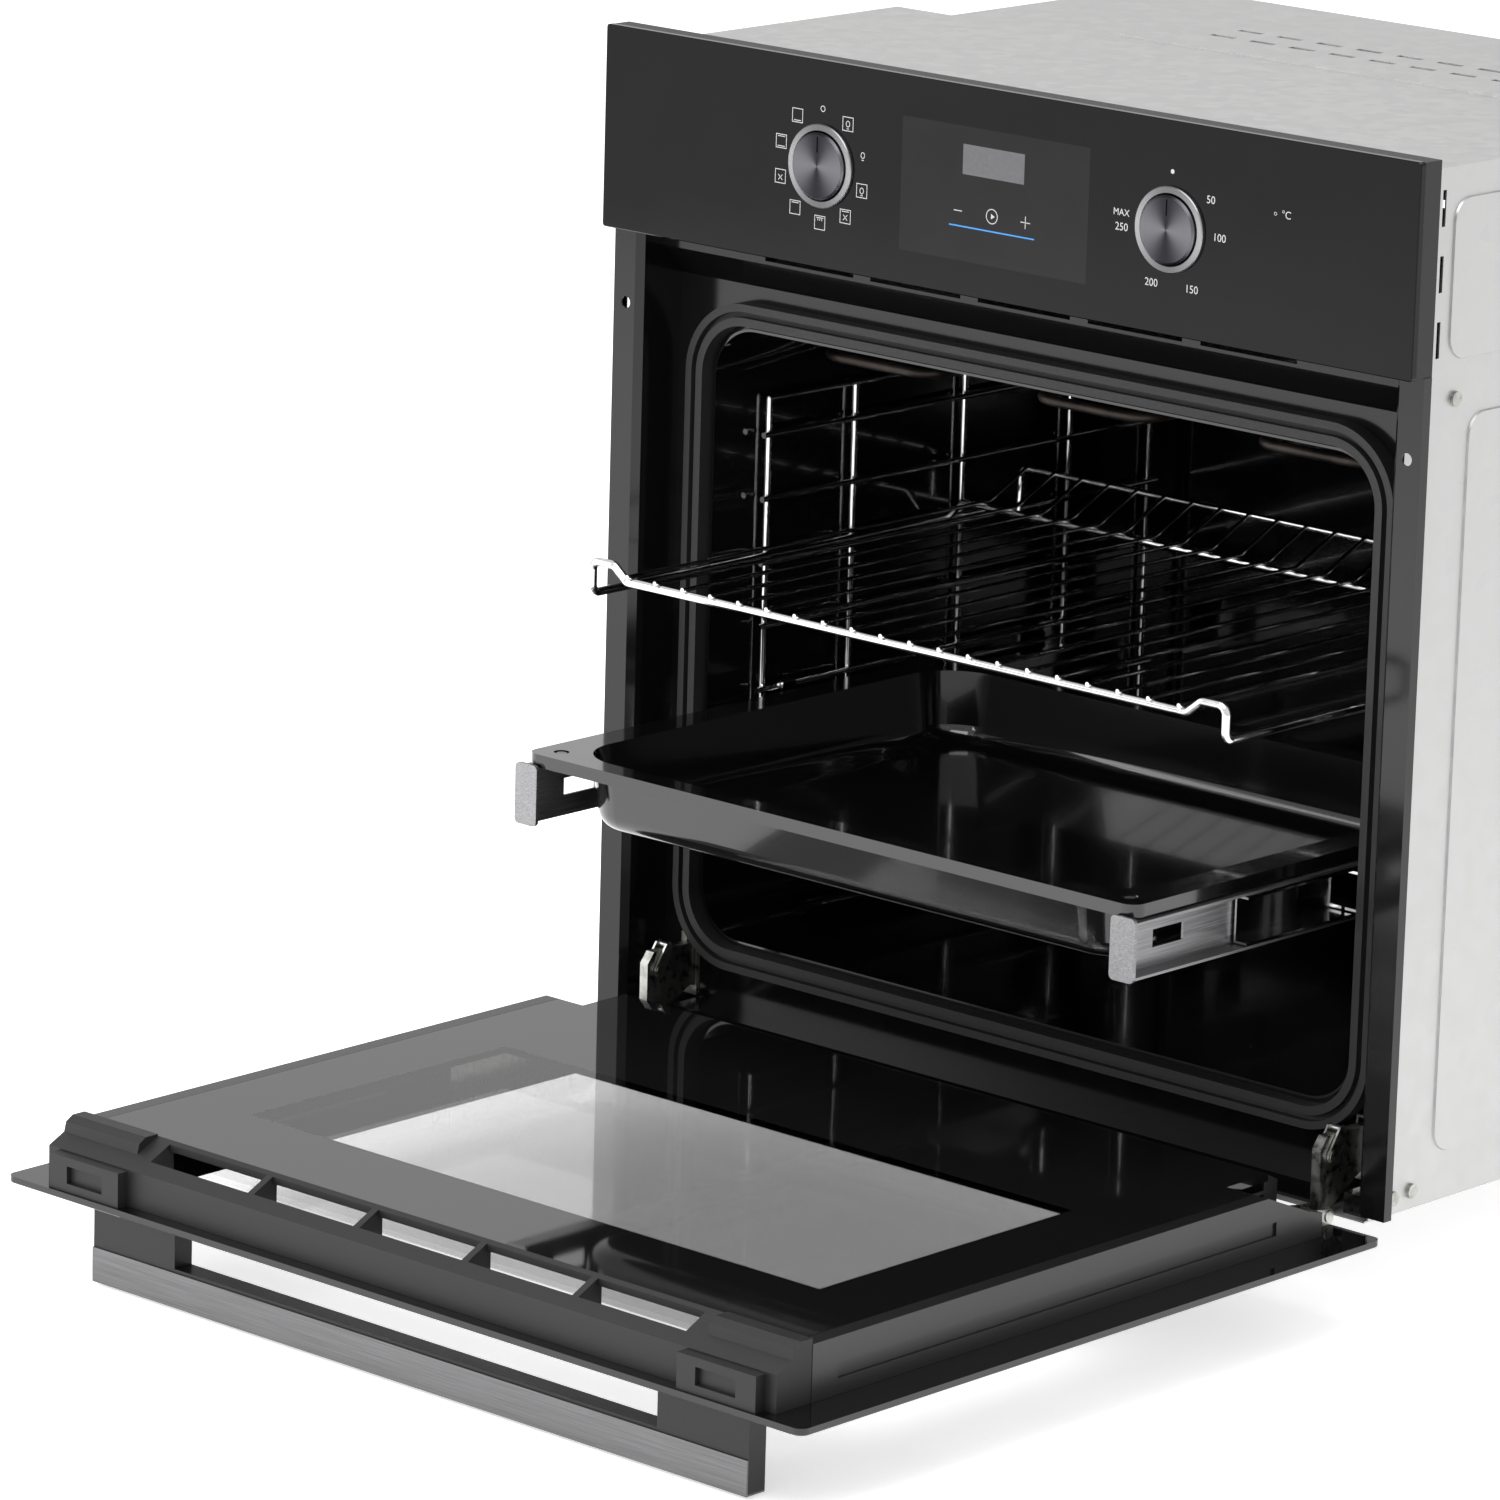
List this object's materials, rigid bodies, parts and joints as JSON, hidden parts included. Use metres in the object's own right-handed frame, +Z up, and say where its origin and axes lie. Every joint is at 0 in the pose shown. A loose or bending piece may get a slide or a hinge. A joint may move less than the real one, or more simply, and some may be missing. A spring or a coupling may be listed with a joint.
{
  "type": "built-in single oven",
  "caption": "Built-in electric single oven with drop-down glass door, bar handle, wire rack, baking tray on telescopic runners and pop-out knobs.",
  "frame": {"origin": "on the underside of the casing, on the centre line, in the plane of the cabinet's front edge", "axes": "+X to the user's right, +Y into the cabinet, +Z up"},
  "size_m": [0.595, 0.9867, 0.6513],
  "materials": {
    "galvanised_sheet": "dull spangled zinc",
    "zinc_plated_steel": "zinc plated",
    "black_enamel": "glossy fired enamel",
    "black_painted_steel": "satin",
    "mineral_wool": "soft fibre",
    "seal_rubber": "matt",
    "black_glass": "back-painted, polished",
    "door_glass": "dark tinted, polished",
    "clear_glass": "heat reflecting, polished",
    "lamp_glass": "ribbed",
    "black_plastic": "fine grain",
    "grey_plastic": "matt",
    "beige_plastic": "matt",
    "stainless_trim": "lengthways brushed",
    "chrome_wire": "bright",
    "heater_sheath": "heat-darkened",
    "knob_metal": "turned",
    "aluminium_cast": "cast"
  },
  "bodies": {
    "oven": {"base_pan": "galvanised_sheet", "side_panel_left": "galvanised_sheet", "side_panel_right": "galvanised_sheet", "top_cover": "galvanised_sheet", "rear_panel": "galvanised_sheet", "casing_screws": "zinc_plated_steel", "cavity_liner": "black_enamel", "insulation": "mineral_wool", "front_frame": "black_painted_steel", "door_seal": "seal_rubber", "control_panel_glass": "black_glass", "control_panel_carrier": "black_plastic", "control_bracket": "galvanised_sheet", "display_module": "black_plastic", "knob_well_left": "knob_metal", "knob_well_right": "knob_metal", "selector_switch": "beige_plastic", "thermostat_body": "grey_plastic", "cooling_fan_housing": "galvanised_sheet", "cooling_fan_motor": "zinc_plated_steel", "fan_cover": "black_enamel", "convection_motor": "zinc_plated_steel", "ring_element": "heater_sheath", "grill_element": "heater_sheath", "bottom_element": "heater_sheath", "lamp_glass": "lamp_glass", "lamp_holder": "zinc_plated_steel", "lamp_bulb": "lamp_glass", "terminal_block": "grey_plastic", "hinge_arm_left": "zinc_plated_steel", "hinge_arm_right": "zinc_plated_steel", "hinge_receivers": "zinc_plated_steel", "ladder_rack_left": "chrome_wire", "ladder_rack_right": "chrome_wire", "runner_fixed_rails": "chrome_wire"},
    "door": {"door_outer_glass": "door_glass", "door_inner_glass": "clear_glass", "door_middle_glass": "clear_glass", "door_column_left": "black_painted_steel", "door_column_right": "black_painted_steel", "door_bottom_rail": "black_painted_steel", "door_vent_trim": "black_plastic", "handle_bar": "black_plastic", "handle_strip": "stainless_trim", "hinge_channel_left": "zinc_plated_steel", "hinge_channel_right": "zinc_plated_steel", "hinge_pins": "zinc_plated_steel"},
    "rack": {"wire_rack": "chrome_wire"},
    "tray_carriage": {"runner_slide_left": "chrome_wire", "runner_slide_right": "chrome_wire", "baking_tray": "black_enamel"},
    "runner_middles": {"runner_middle_rails": "chrome_wire"},
    "selector_spindle": {"selector_shaft": "zinc_plated_steel"},
    "selector_cap": {"selector_knob": "black_plastic"},
    "thermostat_spindle": {"thermostat_shaft": "zinc_plated_steel"},
    "thermostat_cap": {"thermostat_knob": "black_plastic"},
    "convection_rotor": {"convection_fan": "stainless_trim"},
    "cooling_rotor": {"cooling_fan_impeller": "aluminium_cast"},
    "latch_left": {"hinge_latch_left": "zinc_plated_steel"},
    "latch_right": {"hinge_latch_right": "zinc_plated_steel"}
  },
  "joints": [
    {"name": "door_hinge", "type": "hinge", "parent": "oven", "child": "door", "pos_m": [0, -0.01, 0.002], "axis": [-1, 0, 0], "range_deg": [0, 90]},
    {"name": "rack_slide", "type": "slide", "parent": "oven", "child": "rack", "axis": [0, 1, 0], "range_m": [0, 0.125]},
    {"name": "tray_slide", "type": "slide", "parent": "oven", "child": "tray_carriage", "axis": [0, 1, 0], "range_m": [0, 0.188]},
    {"name": "runner_middle_slide", "type": "slide", "parent": "oven", "child": "runner_middles", "axis": [0, 1, 0], "range_m": [0, 0.094]},
    {"name": "selector_turn", "type": "hinge", "parent": "oven", "child": "selector_spindle", "pos_m": [-0.128, 0, 0.535], "axis": [0, 1, 0], "continuous": true},
    {"name": "selector_pop", "type": "slide", "parent": "selector_spindle", "child": "selector_cap", "axis": [0, -1, 0], "range_m": [0, 0.012]},
    {"name": "thermostat_turn", "type": "hinge", "parent": "oven", "child": "thermostat_spindle", "pos_m": [0.128, 0, 0.535], "axis": [0, 1, 0], "range_deg": [0, 275]},
    {"name": "thermostat_pop", "type": "slide", "parent": "thermostat_spindle", "child": "thermostat_cap", "axis": [0, -1, 0], "range_m": [0, 0.012]},
    {"name": "convection_fan_spin", "type": "hinge", "parent": "oven", "child": "convection_rotor", "pos_m": [0, 0.43, 0.237], "axis": [0, 1, 0], "continuous": true},
    {"name": "cooling_fan_spin", "type": "hinge", "parent": "oven", "child": "cooling_rotor", "pos_m": [0, 0.15, 0.502], "axis": [1, 0, 0], "continuous": true},
    {"name": "latch_left_flip", "type": "hinge", "parent": "oven", "child": "latch_left", "pos_m": [-0.254, -0.005, 0.035], "axis": [-1, 0, 0], "range_deg": [-110, 0]},
    {"name": "latch_right_flip", "type": "hinge", "parent": "oven", "child": "latch_right", "pos_m": [0.254, -0.005, 0.035], "axis": [-1, 0, 0], "range_deg": [-110, 0]}
  ],
  "couplings": [
    {"joint": "rack_slide", "follows": "door_hinge", "m_per_rad": 0.079577},
    {"joint": "tray_slide", "follows": "door_hinge", "m_per_rad": 0.11968},
    {"joint": "runner_middle_slide", "follows": "door_hinge", "m_per_rad": 0.059842}
  ]
}
